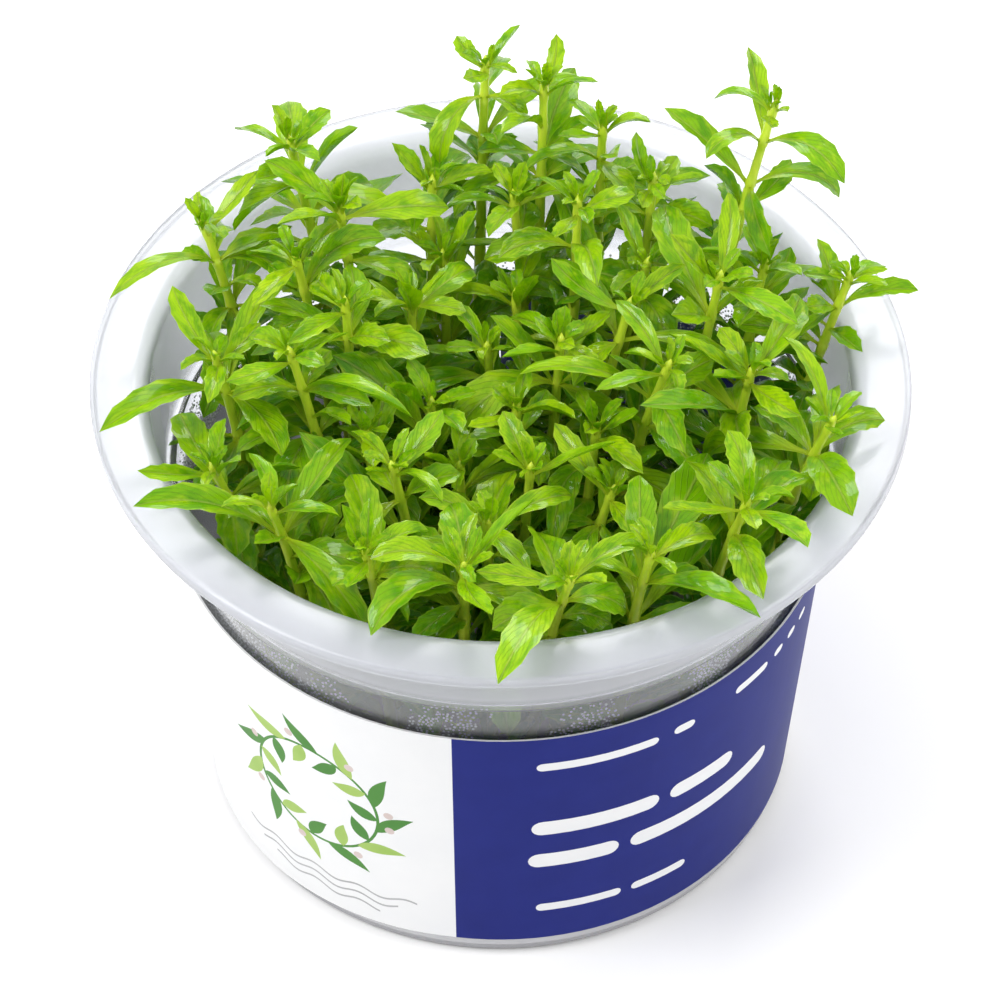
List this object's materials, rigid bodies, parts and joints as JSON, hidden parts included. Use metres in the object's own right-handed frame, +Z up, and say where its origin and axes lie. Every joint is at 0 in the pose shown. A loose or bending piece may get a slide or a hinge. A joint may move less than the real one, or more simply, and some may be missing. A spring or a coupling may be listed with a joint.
{
  "type": "tissue culture limnophila",
  "caption": "Translucent flanged cup with a wrap-round label, holding nutrient gel and a dense clump of small leafy limnophila plantlets.",
  "frame": {"origin": "on the cup's axis, at the face that the cup stands on", "axes": "+Z up along the cup's axis, out of its mouth; -Y towards the front of the label, +X to its right"},
  "size_m": [0.096, 0.1009, 0.0856],
  "materials": {
    "polypropylene": "translucent, frosted, moulded",
    "label_print": "satin printed film",
    "nutrient_gel": "wet, cloudy agar gel",
    "leaf": "living leaf and stem, wet satin"
  },
  "bodies": {
    "root": {"cup": "polypropylene", "label": "label_print", "nutrient_gel": "nutrient_gel", "plantlet_01": "leaf", "plantlet_02": "leaf", "plantlet_03": "leaf", "plantlet_04": "leaf", "plantlet_05": "leaf", "plantlet_06": "leaf", "plantlet_07": "leaf", "plantlet_08": "leaf", "plantlet_09": "leaf", "plantlet_10": "leaf", "plantlet_11": "leaf", "plantlet_12": "leaf", "plantlet_13": "leaf", "plantlet_14": "leaf", "plantlet_15": "leaf", "plantlet_16": "leaf", "plantlet_17": "leaf", "plantlet_18": "leaf", "plantlet_19": "leaf", "plantlet_20": "leaf", "plantlet_21": "leaf", "plantlet_22": "leaf", "plantlet_23": "leaf", "plantlet_24": "leaf", "plantlet_25": "leaf", "plantlet_26": "leaf", "plantlet_27": "leaf", "plantlet_28": "leaf", "plantlet_29": "leaf", "plantlet_30": "leaf", "plantlet_31": "leaf", "plantlet_32": "leaf", "plantlet_33": "leaf", "plantlet_34": "leaf", "plantlet_35": "leaf", "plantlet_36": "leaf", "plantlet_37": "leaf", "plantlet_38": "leaf", "plantlet_39": "leaf", "plantlet_40": "leaf", "plantlet_41": "leaf", "plantlet_42": "leaf", "plantlet_43": "leaf", "plantlet_44": "leaf"}
  },
  "joints": []
}
